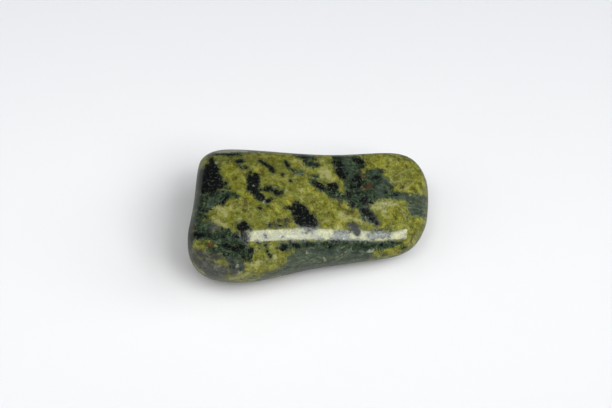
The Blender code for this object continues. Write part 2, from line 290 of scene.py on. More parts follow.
        ((11.8, 3.3, 0.63), (10.9, 2.1, 0.57), (11.4, 1.0, 0.45)), (10.4, 4.8, 0.39),
        ((5.9, 3.0, 0.19), (5.9, 1.9, 0.21), (6.0, 0.9, 0.19)), (8.5, -0.3, 0.24),
    )),
    Mark("lights at the left end", "grey", (
        ((-14.5, 0.0, 0.36), (-14.2, 0.7, 0.3)), (-15.4, 1.2, 0.21),
    )),
    Mark("lights at the right end", "grey", (
        ((15.6, 0.8, 0.81), (16.8, 0.8, 0.9), (17.7, 0.5, 0.75)),
        ((16.0, -0.3, 0.87), (16.9, -0.4, 0.96), (17.8, -0.4, 0.69)),
        ((16.4, -1.3, 0.63), (17.4, -1.3, 0.69)), ((13.5, 1.3, 0.57), (14.8, 1.3, 0.57)),
        ((-1.2, 4.7, 0.33), (-0.5, 4.7, 0.3)),
    )),
    Mark("pale clouds", "pale", (
        ((2.4, 4.9, 0.51), (3.1, 4.9, 0.51), (3.4, 4.0, 0.48)), (2.2, 4.0, 0.24), (3.8, 3.4, 0.33),
        ((-0.9, 6.4, 0.19), (-0.4, 5.9, 0.21)), (0.4, 5.4, 0.22), (-1.6, 6.7, 0.18),
        ((-13.8, -2.3, 0.27), (-13.0, -2.7, 0.36), (-12.3, -3.3, 0.33), (-11.6, -3.7, 0.21)),
        ((-13.7, -0.4, 0.33), (-12.7, -0.7, 0.36), (-11.9, -1.6, 0.28)), (-9.8, -2.4, 0.18),
        (-11.2, -0.6, 0.21), (-13.1, -8.5, 0.16), ((5.1, -1.6, 0.3), (5.8, -2.3, 0.27)), (6.6, -1.9, 0.16),
        ((7.5, -2.3, 0.13), (8.3, -2.6, 0.16)),
        ((9.9, 0.1, 0.24), (11.1, 0.1, 0.27), (12.3, 0.0, 0.27), (13.3, 0.1, 0.21)),
        ((10.2, -0.5, 0.36), (11.2, -0.7, 0.33)), (11.6, -1.2, 0.33), (-2.9, 2.0, 0.15), (4.8, -3.3, 0.27),
        (-7.2, -7.0, 0.22), (-4.7, -8.0, 0.27), (-5.2, -6.3, 0.18), (-0.9, 2.1, 0.21), (12.9, 6.6, 0.18),
        ((-16.5, -9.3, 0.24), (-15.6, -10.2, 0.27), (-14.7, -11.0, 0.27)), (-5.7, -2.8, 0.18),
        ((-11.2, -11.2, 0.18), (-10.2, -11.0, 0.21), (-9.0, -10.6, 0.19)),
        ((-7.9, -9.1, 0.25), (-6.7, -8.8, 0.24)),
    )),
    Mark("white flecks and painted reflection", "white", (
        (10.6, 0.1, 0.07), ((11.6, 0.1, 0.12), (12.1, 0.0, 0.1)), (12.7, 0.1, 0.1), (13.3, 0.1, 0.1),
        (11.1, -0.4, 0.1), (11.7, -1.1, 0.13), (12.1, -0.7, 0.09), (0.2, -7.3, 0.16),
        ((9.4, -7.2, 0.13), (10.0, -7.0, 0.12)), (-13.4, 6.1, 0.13), (-4.8, 2.5, 0.1), (-6.3, 0.3, 0.13),
        (9.1, -1.9, 0.1), (-7.8, 2.8, 0.07), (-9.8, -10.3, 0.12), ((-10.2, -9.1, 0.1), (-10.3, -9.5, 0.09)),
        # This chain is a painted reflection: the light sliver along the crest of the thick end.
        ((-13.6, 7.8, 0.21), (-12.6, 7.9, 0.3), (-11.4, 8.0, 0.34), (-10.2, 8.0, 0.3), (-9.0, 7.9, 0.19)),
    )),
    Mark("loops at the right end", "vein", (
        ((12.7, 3.7, 0.09), (13.0, 3.3, 0.12), (13.9, 3.4, 0.1), (14.7, 3.7, 0.1), (15.3, 3.7, 0.09),
         (15.9, 3.6, 0.07)),
        ((14.2, 2.1, 0.07), (15.0, 2.3, 0.09), (15.6, 2.8, 0.12), (16.0, 3.1, 0.1)),
        ((13.5, 4.2, 0.06), (14.7, 4.9, 0.06), (15.9, 5.2, 0.06)),
        ((12.7, 5.7, 0.06), (13.8, 5.2, 0.06), (15.0, 5.2, 0.06)),
        ((13.6, 0.1, 0.06), (14.5, -1.0, 0.06), (15.0, -2.4, 0.06)),
        ((12.3, -1.6, 0.06), (12.9, -3.3, 0.06)), ((14.5, -1.5, 0.06), (15.4, -1.9, 0.06)),
    )),
    Mark("threads in the middle", "vein", (
        ((4.5, -2.1, 0.07), (5.7, -1.3, 0.07)), ((2.1, -3.0, 0.06), (3.4, -2.2, 0.07)),
        ((-12.4, -0.6, 0.09), (-12.0, -1.2, 0.1), (-11.8, -2.0, 0.07)),
        ((-13.3, -0.9, 0.07), (-13.0, -1.8, 0.07)), ((-11.2, -0.1, 0.07), (-10.5, 0.1, 0.07)),
        ((-4.8, 3.4, 0.06), (-3.4, 3.9, 0.06), (-2.1, 3.0, 0.06)),
        ((-0.9, 1.8, 0.06), (0.6, 1.0, 0.06), (2.4, 0.3, 0.06)),
        ((5.5, -1.5, 0.09), (6.9, -2.0, 0.09), (8.4, -2.5, 0.09)), ((11.7, -1.5, 0.07), (12.0, -2.2, 0.06)),
    )),
    Mark("threads under the gleam", "vein", (
        ((7.0, -6.1, 0.04), (6.7, -6.8, 0.05), (5.7, -7.4, 0.04), (4.5, -8.0, 0.04)),
        ((6.1, -6.2, 0.03), (5.2, -6.6, 0.04), (4.6, -7.0, 0.03)), ((2.7, -8.1, 0.18), (2.9, -8.5, 0.15)),
    )),
    Mark("dull spots in the gleam", "dull", (
        ((6.9, -3.2, 0.42), (7.4, -3.8, 0.63), (7.6, -4.3, 0.48)), (-6.1, -4.8, 0.25), (-3.4, -4.9, 0.16),
        (0.6, -3.9, 0.18), (0.1, -4.3, 0.22),
    )),
    Mark("rust", "rust", (
        ((9.1, 2.8, 0.18), (9.3, 2.3, 0.21)), (8.2, 4.8, 0.1), (8.6, 4.1, 0.12), (8.4, 2.3, 0.09),
        (-14.5, -6.2, 0.31), (-16.8, -3.4, 0.19),
    )),
    Mark("brown smears", "brown", (
        ((-5.5, -3.3, 0.33), (-5.3, -2.8, 0.22)),
        ((-4.4, -3.1, 0.25), (-3.7, -3.3, 0.37), (-3.0, -3.0, 0.27)),
        ((-3.7, -2.3, 0.36), (-2.9, -2.6, 0.33), (-2.3, -2.8, 0.22)), (-4.8, -2.6, 0.24),
        (-1.9, -3.2, 0.18), ((-9.1, 0.4, 0.27), (-9.0, -0.4, 0.24)), (14.6, 2.5, 0.33), (16.0, -4.6, 0.3),
        (5.1, 0.2, 0.33), ((5.2, -0.7, 0.22), (6.9, -1.2, 0.22)), (-6.1, -4.8, 0.33), (-3.4, -5.1, 0.15),
        (-1.9, 4.4, 0.13), ((9.5, 3.1, 0.36), (9.7, 2.4, 0.36)), (8.3, 4.6, 0.25), (8.7, 4.0, 0.22),
        (-15.8, -2.5, 0.21), ((-6.7, 4.8, 0.24), (-6.3, 5.0, 0.18)), (-3.4, 2.2, 0.19),
        ((-9.4, 5.3, 0.33), (-8.6, 5.2, 0.18)), (15.6, 3.4, 0.21), (-11.9, 2.8, 0.27),
        ((-14.5, -6.3, 0.33), (-14.2, -5.9, 0.24)), (-6.3, -5.6, 0.24),
    )),
)

# The sides that the camera doesn't see carry the same kinds of mark, laid by a seeded hand in clusters
# that keep a gap. A side is hidden where its normal leans this far away from the camera. The shares are
# how many clusters are patches, and how many are patches or hooks.
HIDDEN_SEED = 41
HIDDEN_FACING = -0.12
CLUSTER_FACING = HIDDEN_FACING - 0.1
CLUSTER_TRIES = 900
CLUSTER_GAP = 4.3
PATCH_SHARE = 0.55
HOOK_SHARE = 0.85

# How a chain of places grows there: how many steps, how long they are, and its radius; then its first
# radius and the next ones as shares of that, and how far it turns at a step, in radians.
Growth = namedtuple("Growth", "steps stride radius")
PATCH = Growth((2, 5), 1.1, (0.7, 1.2))
CORE = Growth((1, 3), 0.7, (0.3, 0.5))
HOOK = Growth((2, 4), 0.8, (0.35, 0.6))
FIRST_SHARE = (0.5, 0.9)
NEXT_SHARE = (0.6, 1.2)
TURN = 0.5

# Single marks that may lie within some distance of a cluster: (mineral, radius, steps).
STRAYS = (
    ("pale", 0.45, 2), ("vein", 0.07, 4), ("brown", 0.25, 1), ("rust", 0.15, 0), ("grey", 0.65, 3),
    ("grey", 0.5, 2), ("white", 0.1, 0), ("black", 0.2, 0), ("black", 0.15, 0),
)
STRAY_SHARE = 0.5
STRAY_REACH = 2.2
STRAY_STRIDE = 0.9


def put(name, data):
    """A new object in the scene."""
    made = bpy.data.objects.new(name, data)
    bpy.context.scene.collection.objects.link(made)
    return made


def grow_surface(node):
    """A CAD node's mesh in the shared frame, with its triangles joined into quads."""
    body = bmesh.new()
    body.from_mesh(node.data)
    bmesh.ops.transform(body, matrix=node.matrix_world, verts=body.verts)
    bmesh.ops.remove_doubles(body, verts=body.verts, dist=WELD)
    bmesh.ops.join_triangles(
        body, faces=body.faces, angle_face_threshold=QUAD_BEND, angle_shape_threshold=math.pi)
    return body


def refine(body):
    """One round of smooth subdivision, a finer grid in each face, then a little smoothing."""
    mesh = bpy.data.meshes.new("stone_rounds")
    body.to_mesh(mesh)
    holder = put("stone_rounds", mesh)
    rounds = holder.modifiers.new("rounds", "SUBSURF")
    rounds.levels = rounds.render_levels = 1
    depsgraph = bpy.context.evaluated_depsgraph_get()
    smooth = bmesh.new()
    smooth.from_object(holder, depsgraph)
    bpy.data.objects.remove(holder)
    bpy.data.meshes.remove(mesh)
    bmesh.ops.subdivide_edges(smooth, edges=smooth.edges, cuts=GRID_CUTS, use_grid_fill=True)
    for _ in range(ROUNDING_PASSES):
        bmesh.ops.smooth_vert(smooth, verts=smooth.verts, factor=ROUNDING,
                              use_axis_x=True, use_axis_y=True, use_axis_z=True)
    smooth.normal_update()
    return smooth


def wave(place, size):
    """Smooth noise about zero, with bumps about size millimetres across."""
    return noise.noise(Vector(place) / (size * MM))


def roll(body):
    """The slow swells and finer ripples that tumbling leaves on the polish."""
    body.normal_update()
    offsets = []
    for vert in body.verts:
        push = SWELL[0] * wave(vert.co, SWELL[1]) + RIPPLE[0] * wave(vert.co, RIPPLE[1])
        offsets.append(vert.normal * (push - SWELL[0]) * MM)
    for vert, offset in zip(body.verts, offsets):
        vert.co += offset


def sight(points):
    """Points as (across, up, depth): millimetres in the picture plane through the aim point."""
    offset = points - np.array(AIM)
    depth = offset @ np.array(TOWARDS)
    scale = CAMERA_DISTANCE / (CAMERA_DISTANCE - depth)
    across = (offset @ np.array(RIGHT)) * scale
    up = (offset @ np.array(UP)) * scale
    return np.stack([across, up, depth * DEPTH_WEIGHT], axis=1) / MM


def on_surface(tree, across, up):
    """Where the line of sight through (across, up) meets the stone."""
    eye = AIM + TOWARDS * CAMERA_DISTANCE
    through = AIM + (RIGHT * across + UP * up) * MM
    hit = tree.ray_cast(eye, (through - eye).normalized())[0]
    return hit if hit is not None else tree.find_nearest(through)[0]


def lumpiness(places):
    """How much larger a patch is at each place than its strokes say."""
    return np.array([sum(part * wave(place, size) for part, size in LUMPS) for place in places])


def chain_distance(points, places, radii, lumps):
    """Signed distance from each point to a lumpy chain of balls joined by cones."""
    if len(places) == 1:
        places, radii = places * 2, radii * 2
    nearest = np.full(len(points), FAR)
    for start, end, start_radius, end_radius in zip(places, places[1:], radii, radii[1:]):
        run = end - start
        length = max(float(run @ run), 1e-9)
        along = np.clip((points - start) @ run / length, 0.0, 1.0)
        gap = np.linalg.norm(points - start - along[:, None] * run, axis=1)
        radius = start_radius + along * (end_radius - start_radius)
        nearest = np.minimum(nearest, gap - radius * (1.0 + lumps))
    return nearest


# What marks are laid on: the surface's points and a search tree over them, how lumpy each point makes
# a patch, and the distance field of each mineral.
Ground = namedtuple("Ground", "points tree lumps fields")


def seen_marks(ground):
    """Lays the marks of the side that the camera sees."""
    plane = sight(ground.points)
    for mark in MARKS:
        field = ground.fields[mark.mineral]
        for stroke in mark.strokes:
            chain = stroke if isinstance(stroke[0], tuple) else (stroke,)
            places = [np.array(on_surface(ground.tree, across, up)) for across, up, _ in chain]
            places = list(sight(np.array(places)))
            radii = [radius for _, _, radius in chain]
            np.minimum(field, chain_distance(plane, places, radii, ground.lumps), out=field)


def wander(tree, start, rng, steps, stride, radius):
    """A chain of places that creeps over the hidden side from start, and its radii."""
    place, normal, _, _ = tree.find_nearest(start)
    heading = normal.orthogonal().normalized()
    heading.rotate(Matrix.Rotation(rng.uniform(0.0, math.tau), 3, normal))
    places, radii = [place], [radius * rng.uniform(*FIRST_SHARE)]
    for _ in range(steps):
        ahead, normal, _, _ = tree.find_nearest(place + heading * stride * MM)
        if normal.dot(TOWARDS) > HIDDEN_FACING:
            break
        heading = (ahead - place).normalized()
        heading.rotate(Matrix.Rotation(rng.gauss(0.0, TURN), 3, normal))
        place = ahead
        places.append(place)
        radii.append(radius * rng.uniform(*NEXT_SHARE))
    return places, radii


def hidden_clusters(ground, normals, rng):
    """Well spread starting places on the hidden side."""
    hidden = [i for i in range(len(normals)) if normals[i] @ np.array(TOWARDS) < CLUSTER_FACING]
    picked = []
    for index in rng.sample(hidden, CLUSTER_TRIES):
        place = Vector(ground.points[index])
        if all((place - other).length > CLUSTER_GAP * MM for other in picked):
            picked.append(place)
    return picked


def lay(ground, mineral, chain):
    """Adds a chain of places, in metres, and radii to a mineral's field."""
    places, radii = chain
    spots = [np.array(place) / MM for place in places]
    field = ground.fields[mineral]
    np.minimum(field, chain_distance(ground.points / MM, spots, radii, ground.lumps), out=field)


def grow(ground, start, rng, growth):
    """A chain that wanders from start as its growth says."""
    steps = rng.randint(*growth.steps)
    return wander(ground.tree, start, rng, steps, growth.stride, rng.uniform(*growth.radius))


def hidden_patches(ground, start, rng):
    """Two or three dark green patches, each with a black core."""
    for _ in range(rng.choice((2, 3))):
        patch = grow(ground, start, rng, PATCH)
        lay(ground, "green", patch)
        lay(ground, "black", grow(ground, rng.choice(patch[0]), rng, CORE))


def hidden_hooks(ground, start, rng):
    """Two black hooks."""
    for _ in range(2):
        lay(ground, "black", grow(ground, start, rng, HOOK))


def hidden_strays(ground, start, rng):
    """Some of the single marks, near a cluster."""
    for mineral, radius, steps in STRAYS:
        if rng.random() < STRAY_SHARE:
            aside = start + Vector([rng.uniform(-STRAY_REACH, STRAY_REACH) * MM for _ in range(3)])
            if ground.tree.find_nearest(aside)[1].dot(TOWARDS) < HIDDEN_FACING:
                lay(ground, mineral, wander(ground.tree, aside, rng, steps, STRAY_STRIDE, radius))


def hidden_marks(ground, normals):
    """Dark patches with black cores, hooks, spots and veins over the hidden side."""
    rng = random.Random(HIDDEN_SEED)
    for start in hidden_clusters(ground, normals, rng):
        kind = rng.random()
        if kind < PATCH_SHARE:
            hidden_patches(ground, start, rng)
        elif kind < HOOK_SHARE:
            hidden_hooks(ground, start, rng)
        hidden_strays(ground, start, rng)


def mark_surface(body):
    """The distance fields of all minerals, one number for each vertex."""
    points = np.array([vert.co for vert in body.verts])
    normals = np.array([vert.normal for vert in body.verts])
    fields = {mineral: np.full(len(points), FAR) for mineral in MINERALS}
    ground = Ground(points, BVHTree.FromBMesh(body), lumpiness(points), fields)
    seen_marks(ground)
    hidden_marks(ground, normals)
    return fields


def domes(body, spots):
    """The summed height at each vertex of soft domes given as (across, up, radius, height)."""
    tree = BVHTree.FromBMesh(body)
    points = np.array([vert.co for vert in body.verts])
    height = np.zeros(len(points))
    for across, up, radius, peak in spots:
        gap = np.linalg.norm(points - np.array(on_surface(tree, across, up)), axis=1) / MM
        height += peak * np.exp(-(gap / radius) ** 2)
    return height


def fill_out(body):
    """Raises the places where the stone is fuller than its solid."""
    body.normal_update()
    for vert, height in zip(body.verts, domes(body, BULGES)):
        vert.co += vert.normal * float(height) * MM


def relief(body, fields):
    """Sinks the pits, and leaves the harder dark minerals a little uneven."""
    sink = domes(body, PITS)
    edge = np.minimum(fields["black"], fields["green"])
    dark = np.clip(0.5 - edge / DARK_SHORE, 0.0, 1.0)
    for index, vert in enumerate(body.verts):
        uneven = DARK_RELIEF[0] * dark[index] * wave(vert.co, DARK_RELIEF[1])
        vert.co += vert.normal * (uneven - sink[index]) * MM


def stone_object():
    """The finished surface, set down on the floor, with its mineral fields as attributes."""
    body = refine(grow_surface(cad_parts["stone"]))
    roll(body)
    fill_out(body)
    body.normal_update()
    fields = mark_surface(body)
    relief(body, fields)
    lowest = min(vert.co.z for vert in body.verts)
    for vert in body.verts:
        vert.co.z -= lowest
    mesh = bpy.data.meshes.new("stone_surface")
    body.to_mesh(mesh)
    mesh.shade_smooth()
    for mineral, field in fields.items():
        layer = mesh.attributes.new(mineral, "FLOAT", "POINT")
        layer.data.foreach_set("value", field.astype(np.float32))
    return put("stone_surface", mesh)


# Where a Mix node keeps its two colours and their mix.
MIX_FIRST, MIX_SECOND, MIX_RESULT = 6, 7, 2

# How a mineral's patches end: (size, depth) of the jags along their edge, the distance on each side of
# it over which they fade, and how much of what lies under them they cover.
Edge = namedtuple("Edge", "jags width cover")
EDGES = {
    "pale": Edge(((0.6, 0.7), (0.25, 0.8)), 0.34, 0.65),
    "green": Edge(((0.55, 0.62), (0.22, 0.52), (0.11, 0.28)), 0.14, 1.0),
    "grey": Edge(((0.6, 0.75), (0.25, 0.65)), 0.28, 0.92),
    "slate_and_sheen": Edge(((0.6, 0.5), (0.25, 0.4)), 0.5, 0.9),
    "brown": Edge(((0.45, 0.6), (0.2, 0.7)), 0.2, 0.8),
    "vein": Edge(((0.5, 0.2), (0.22, 0.15)), 0.1, 0.55),
    "black": Edge(((0.45, 0.3), (0.2, 0.32), (0.1, 0.18)), 0.1, 1.0),
    "white": Edge(((0.4, 0.5), (0.18, 0.5)), 0.16, 0.65),
    "rust": Edge(((0.45, 0.45), (0.2, 0.6)), 0.35, 0.8),
    "dull": Edge(((0.4, 0.5), (0.18, 0.7)), 0.2, 1.0),
}

# The grains, as (how far through the noise, colour), and the colours of the shades, threads and flecks
# in them. A tinge is (size, one hue, the other hue).
OLIVE_GRAIN = (
    (0.32, (0.032, 0.035, 0.01)), (0.42, (0.076, 0.081, 0.014)), (0.5, (0.142, 0.147, 0.022)),
    (0.58, (0.202, 0.209, 0.035)), (0.7, (0.325, 0.333, 0.095)),
)
OLIVE_TINGES = (
    (0.65, (1.07, 0.985, 0.86), (0.94, 1.015, 1.12)), (2.4, (1.05, 1.03, 0.75), (0.94, 0.98, 1.32)),
)
OLIVE_SHADE, BROWN_FLECK = (0.104, 0.108, 0.011), (0.058, 0.048, 0.022)
CREAM_THREAD, CREAM_FLECK = (0.3, 0.305, 0.12), (0.31, 0.315, 0.095)
GREEN_GRAIN = (
    (0.35, (0.004, 0.009, 0.005)), (0.45, (0.014, 0.026, 0.013)), (0.54, (0.037, 0.058, 0.032)),
    (0.61, (0.07, 0.098, 0.058)), (0.7, (0.185, 0.215, 0.15)),
)
GREEN_SHADE, GREEN_THREAD = (0.01, 0.019, 0.01), (0.12, 0.15, 0.105)
GREY_GRAIN = (
    (0.34, (0.015, 0.021, 0.015)), (0.45, (0.036, 0.05, 0.036)), (0.55, (0.063, 0.087, 0.062)),
    (0.7, (0.14, 0.168, 0.125)),
)
# The slate-and-sheen colour: a real mineral at the lower corner, and a painted reflection and sheen at the
# left end.
SLATE_AND_SHEEN_GRAIN = (
    (0.34, (0.018, 0.02, 0.021)), (0.46, (0.052, 0.055, 0.055)), (0.56, (0.096, 0.102, 0.096)),
    (0.7, (0.19, 0.2, 0.165)),
)
GREY_SHADE, SLATE_AND_SHEEN_SHADE = (0.026, 0.034, 0.026), (0.03, 0.034, 0.033)
BLACK, BLACK_FLECK = (0.0042, 0.0048, 0.0048), (0.048, 0.06, 0.042)
BLACK_GLINT = (0.11, 0.125, 0.11)
PLAIN_COLOURS = {
    "pale": (0.36, 0.36, 0.15), "brown": (0.048, 0.031, 0.018), "vein": (0.285, 0.3, 0.15),
    "white": (0.33, 0.37, 0.26), "rust": (0.074, 0.021, 0.01),
}

# Dark green shows for some way round the black: from, to, and how much at each of them.
SHORE = (0.55, 0.02, 0.0, 0.62)

# The size and depth of the bends in the grain.
GRAIN_BEND = (1.1, 0.9)

# The olive body grows lighter along the stone: from X, to X, and its lightness at each of them.
LIGHTNESS = (-17.0, 17.0, 0.98, 1.07)

# The polish: how rough the bare stone is from place to place, what the specks of the gritty minerals
# and the dull spots add, and how deep the grain is on each, as a share of its height.
POLISH = (0.08, 0.11)
SPECKS = (0.01, 0.14)
DULLNESS = 0.44
STONE_IOR = 1.56
GRAIN_HEIGHT = 0.034 * MM
PLAIN_GRAIN, GRITTY_GRAIN, BLACK_GRAIN = 0.06, 0.6, 0.34


class Graph:
    """Short calls that build a material's nodes. Lengths are in millimetres."""

    def __init__(self, name):
        self.material = bpy.data.materials.new(name)
        self.material.use_nodes = True
        self.tree = self.material.node_tree
        self.shader = self.tree.nodes["Principled BSDF"]
        place = self.tree.nodes.new("ShaderNodeTexCoord").outputs["Object"]
        self.place = self.vector("SCALE", place, scale=1.0 / MM)
        self.warped = self.place

    def node(self, kind, **settings):
        made = self.tree.nodes.new(kind)
        for name, value in settings.items():
            setattr(made, name, value)
        return made

    def feed(self, socket, value):
        if isinstance(value, bpy.types.NodeSocket):
            self.tree.links.new(value, socket)
        else:
            socket.default_value = (*value, 1.0) if socket.type == "RGBA" else value

    def vector(self, operation, first, second=(0.0, 0.0, 0.0), scale=1.0):
        made = self.node("ShaderNodeVectorMath", operation=operation)
        self.feed(made.inputs[0], first)
        self.feed(made.inputs[1], second)
        if operation == "SCALE":
            made.inputs["Scale"].default_value = scale
        return made.outputs["Vector"]

    def math(self, operation, first, second=0.0, third=0.0):
        made = self.node("ShaderNodeMath", operation=operation)
        for socket, value in zip(made.inputs, (first, second, third)):
            self.feed(socket, value)
        return made.outputs["Value"]

    def noise(self, size, detail=2.0, rough=0.5, place=None, output=0):
        made = self.node("ShaderNodeTexNoise")
        self.feed(made.inputs["Vector"], place or self.place)
        made.inputs["Scale"].default_value = 1.0 / size
        made.inputs["Detail"].default_value = detail
        made.inputs["Roughness"].default_value = rough
        return made.outputs[output]

    def fade(self, value, low, high, start=0.0, end=1.0):
        made = self.node("ShaderNodeMapRange", interpolation_type="SMOOTHSTEP")
        for socket, setting in zip(made.inputs, (value, low, high, start, end)):
            self.feed(socket, setting)
        return made.outputs["Result"]

    def mix(self, factor, first, second):
        made = self.node("ShaderNodeMix", data_type="RGBA")
        self.feed(made.inputs["Factor"], factor)
        self.feed(made.inputs[MIX_FIRST], first)
        self.feed(made.inputs[MIX_SECOND], second)
        return made.outputs[MIX_RESULT]

    def ramp(self, value, stops):
        made = self.node("ShaderNodeValToRGB")
        elements = made.color_ramp.elements
        for element, (position, colour) in zip(elements, (stops[0], stops[-1])):
            element.position, element.color = position, (*colour, 1.0)
        for position, colour in stops[1:-1]:
            elements.new(position).color = (*colour, 1.0)
        self.feed(made.inputs["Fac"], value)
        return made.outputs["Color"]

    def edge(self, mineral):
        """A mineral's distance field, made ragged by its jags."""
        edge = self.node("ShaderNodeAttribute", attribute_name=mineral).outputs["Fac"]
        for size, depth in EDGES[mineral].jags:
            uneven = self.noise(size, 2.0, 0.6, self.warped)
            edge = self.math("MULTIPLY_ADD", uneven, 2.0 * depth, edge)
            edge = self.math("SUBTRACT", edge, depth)
        return edge

    def patch(self, mineral, edge=None):
        """How much of a mineral shows."""
        _, width, cover = EDGES[mineral]
        return self.fade(edge or self.edge(mineral), width, -width, 0.0, cover)

    def cloud(self, size, low, high, strength):
        """Large soft clouds."""
        return self.fade(self.noise(size, 3.0, 0.55), low, high, 0.0, strength)

    def thread(self, size, width, strength):
        """Thin wandering lines."""
        line = self.math("SUBTRACT", self.noise(size, 3.0, 0.5, self.warped), 0.5)
        return self.fade(self.math("ABSOLUTE", line), width, 0.0, 0.0, strength)

    def tinge(self, colour, size, first, second):
        """A colour whose hue drifts between two tinges."""
        drift = self.fade(self.noise(size, 3.0, 0.6, self.warped), 0.36, 0.64)
        return self.vector("MULTIPLY", colour, self.mix(drift, first, second))

    def bend(self, size, depth):
        """Bends the place that the grain is drawn by, so that the grain flows."""
        push = self.noise(size, 2.0, 0.5, output="Color")
        push = self.vector("SUBTRACT", push, (0.5, 0.5, 0.5))
        self.warped = self.vector("ADD", self.place, self.vector("SCALE", push, scale=depth))


def olive_matrix(graph):
    """The yellow-green body of the stone: clouds, mottling, cream threads and brown flecks."""
    mottle = graph.noise(0.95, 6.0, 0.7, graph.warped)
    colour = graph.ramp(mottle, OLIVE_GRAIN)
    for size, first, second in OLIVE_TINGES:
        colour = graph.tinge(colour, size, first, second)
    colour = graph.mix(graph.cloud(2.6, 0.42, 0.62, 0.5), colour, OLIVE_SHADE)
    colour = graph.mix(graph.thread(1.3, 0.016, 0.45), colour, CREAM_THREAD)
    fleck = graph.fade(graph.noise(0.3, 2.0, 0.6, graph.warped), 0.6, 0.7, 0.0, 0.65)
    colour = graph.mix(fleck, colour, CREAM_FLECK)
    brown = graph.fade(graph.noise(0.4, 2.0, 0.6), 0.4, 0.31, 0.0, 0.8)
    colour = graph.mix(brown, colour, BROWN_FLECK)
    return lighter_along(graph, colour)


def lighter_along(graph, colour):
    """A colour that grows lighter towards the thin end."""
    split = graph.node("ShaderNodeSeparateXYZ")
    graph.feed(split.inputs[0], graph.place)
    lightness = graph.fade(split.outputs["X"], *LIGHTNESS)
    grey = graph.node("ShaderNodeCombineColor")
    for socket in grey.inputs:
        graph.feed(socket, lightness)
    return graph.vector("MULTIPLY", colour, grey.outputs[0])


def dark_green(graph):
    """The fibrous dark green mineral, with light threads and darker clouds."""
    fibre = graph.noise(0.5, 6.0, 0.78, graph.warped)
    colour = graph.ramp(fibre, GREEN_GRAIN)
    colour = graph.mix(graph.cloud(1.1, 0.47, 0.58, 0.8), colour, GREEN_SHADE)
    return graph.mix(graph.thread(0.9, 0.012, 0.5), colour, GREEN_THREAD)


def grey_mineral(graph):
    """The dull grey-green mineral, whose fibres run along the stone."""
    along = graph.vector("MULTIPLY", graph.warped, (0.3, 1.0, 1.0))
    colour = graph.ramp(graph.noise(0.36, 5.0, 0.72, along), GREY_GRAIN)
    return graph.mix(graph.cloud(1.2, 0.45, 0.6, 0.6), colour, GREY_SHADE)


def slate_and_sheen_colour(graph):
    """The smooth blue-grey mineral at the lower corner of the thick end. The same colour is also a painted
    reflection along the crest at the top of the left end, and a painted sheen beside the left end.
    """
    colour = graph.ramp(graph.noise(0.6, 5.0, 0.7, graph.warped), SLATE_AND_SHEEN_GRAIN)
    return graph.mix(graph.cloud(1.2, 0.47, 0.57, 0.75), colour, SLATE_AND_SHEEN_SHADE)


def black_mineral(graph):
    """Almost black, with small green flecks and glints."""
    fleck = graph.fade(graph.noise(0.32, 3.0, 0.6), 0.55, 0.68)
    colour = graph.mix(fleck, BLACK, BLACK_FLECK)
    glint = graph.fade(graph.noise(0.17, 1.0, 0.5), 0.66, 0.74, 0.0, 0.38)
    return graph.mix(glint, colour, BLACK_GLINT)


def laid_plain(graph, mineral, under):
    """A mineral of one colour, laid over what is under it."""
    return graph.mix(graph.patch(mineral), under, PLAIN_COLOURS[mineral])


def serpentine():
    """The polished stone: an olive body, with each mineral laid over the ones before it."""
    graph = Graph("serpentine")
    graph.bend(*GRAIN_BEND)
    forest = dark_green(graph)
    green, grey = graph.patch("green"), graph.patch("grey")
    edge = graph.edge("black")
    black = graph.patch("black", edge)
    colour = laid_plain(graph, "pale", olive_matrix(graph))
    colour = graph.mix(green, colour, forest)
    colour = graph.mix(grey, colour, grey_mineral(graph))
    # The lower corner's real mineral, and the painted reflection and sheen at the left end.
    colour = graph.mix(graph.patch("slate_and_sheen"), colour, slate_and_sheen_colour(graph))
    colour = laid_plain(graph, "brown", colour)
    colour = graph.mix(graph.fade(edge, *SHORE), colour, forest)
    colour = laid_plain(graph, "vein", colour)
    colour = graph.mix(black, colour, black_mineral(graph))
    colour = laid_plain(graph, "rust", laid_plain(graph, "white", colour))
    graph.feed(graph.shader.inputs["Base Color"], colour)
    finish(graph, graph.math("MAXIMUM", green, grey), black)
    return graph.material


def finish(graph, gritty, black):
    """The polish: glassy on the olive body and the black, gritty on the green minerals."""
    rough = graph.fade(graph.noise(0.8, 3.0), 0.3, 0.7, *POLISH)
    speck = graph.fade(graph.noise(0.3, 2.0, 0.6, graph.warped), 0.52, 0.57, *SPECKS)
    rough = graph.math("MULTIPLY_ADD", gritty, speck, rough)
    rough = graph.math("MULTIPLY_ADD", graph.patch("dull"), DULLNESS, rough)
    graph.feed(graph.shader.inputs["Roughness"], rough)
    graph.shader.inputs["IOR"].default_value = STONE_IOR
    depth = graph.math("MULTIPLY_ADD", gritty, GRITTY_GRAIN, PLAIN_GRAIN)
    depth = graph.math("MULTIPLY_ADD", black, graph.math("SUBTRACT", BLACK_GRAIN, depth), depth)
    bump = graph.node("ShaderNodeBump")
    bump.inputs["Strength"].default_value = 1.0
    bump.inputs["Distance"].default_value = GRAIN_HEIGHT
    graph.feed(bump.inputs["Height"], graph.math("MULTIPLY", graph.noise(0.25, 2.0, 0.55), depth))
    graph.feed(graph.shader.inputs["Normal"], bump.outputs["Normal"])


# The floor: half its side in metres, how far it lies under the stone, and its colour near a spot in
# front of the stone and far from it, as (distance, colour), a painted falloff of light. Then the spot's Y,
# how much X counts in the distance, and the size and strength of the grain. The polish sees a much
# darker floor, which fades into the room between two distances.
FLOOR_HALF = 6.0
FLOOR_DROP = 0.02 * MM
FLOOR_NEAR = (0.0, (0.792, 0.8, 0.812))
FLOOR_FAR = (105.0, (0.62, 0.634, 0.66))
FLOOR_BRIGHTEST = -12.0
FLOOR_STRETCH = 0.33
FLOOR_GRAIN = (30.0, 0.02)
FLOOR_ROUGHNESS = 0.9
FLOOR_SPECULAR = 0.1
FLOOR_IN_POLISH = (0.28, 0.285, 0.29)
ROOM_IN_POLISH = (0.03, 0.03, 0.03)
POLISH_FADE = (30.0, 420.0)

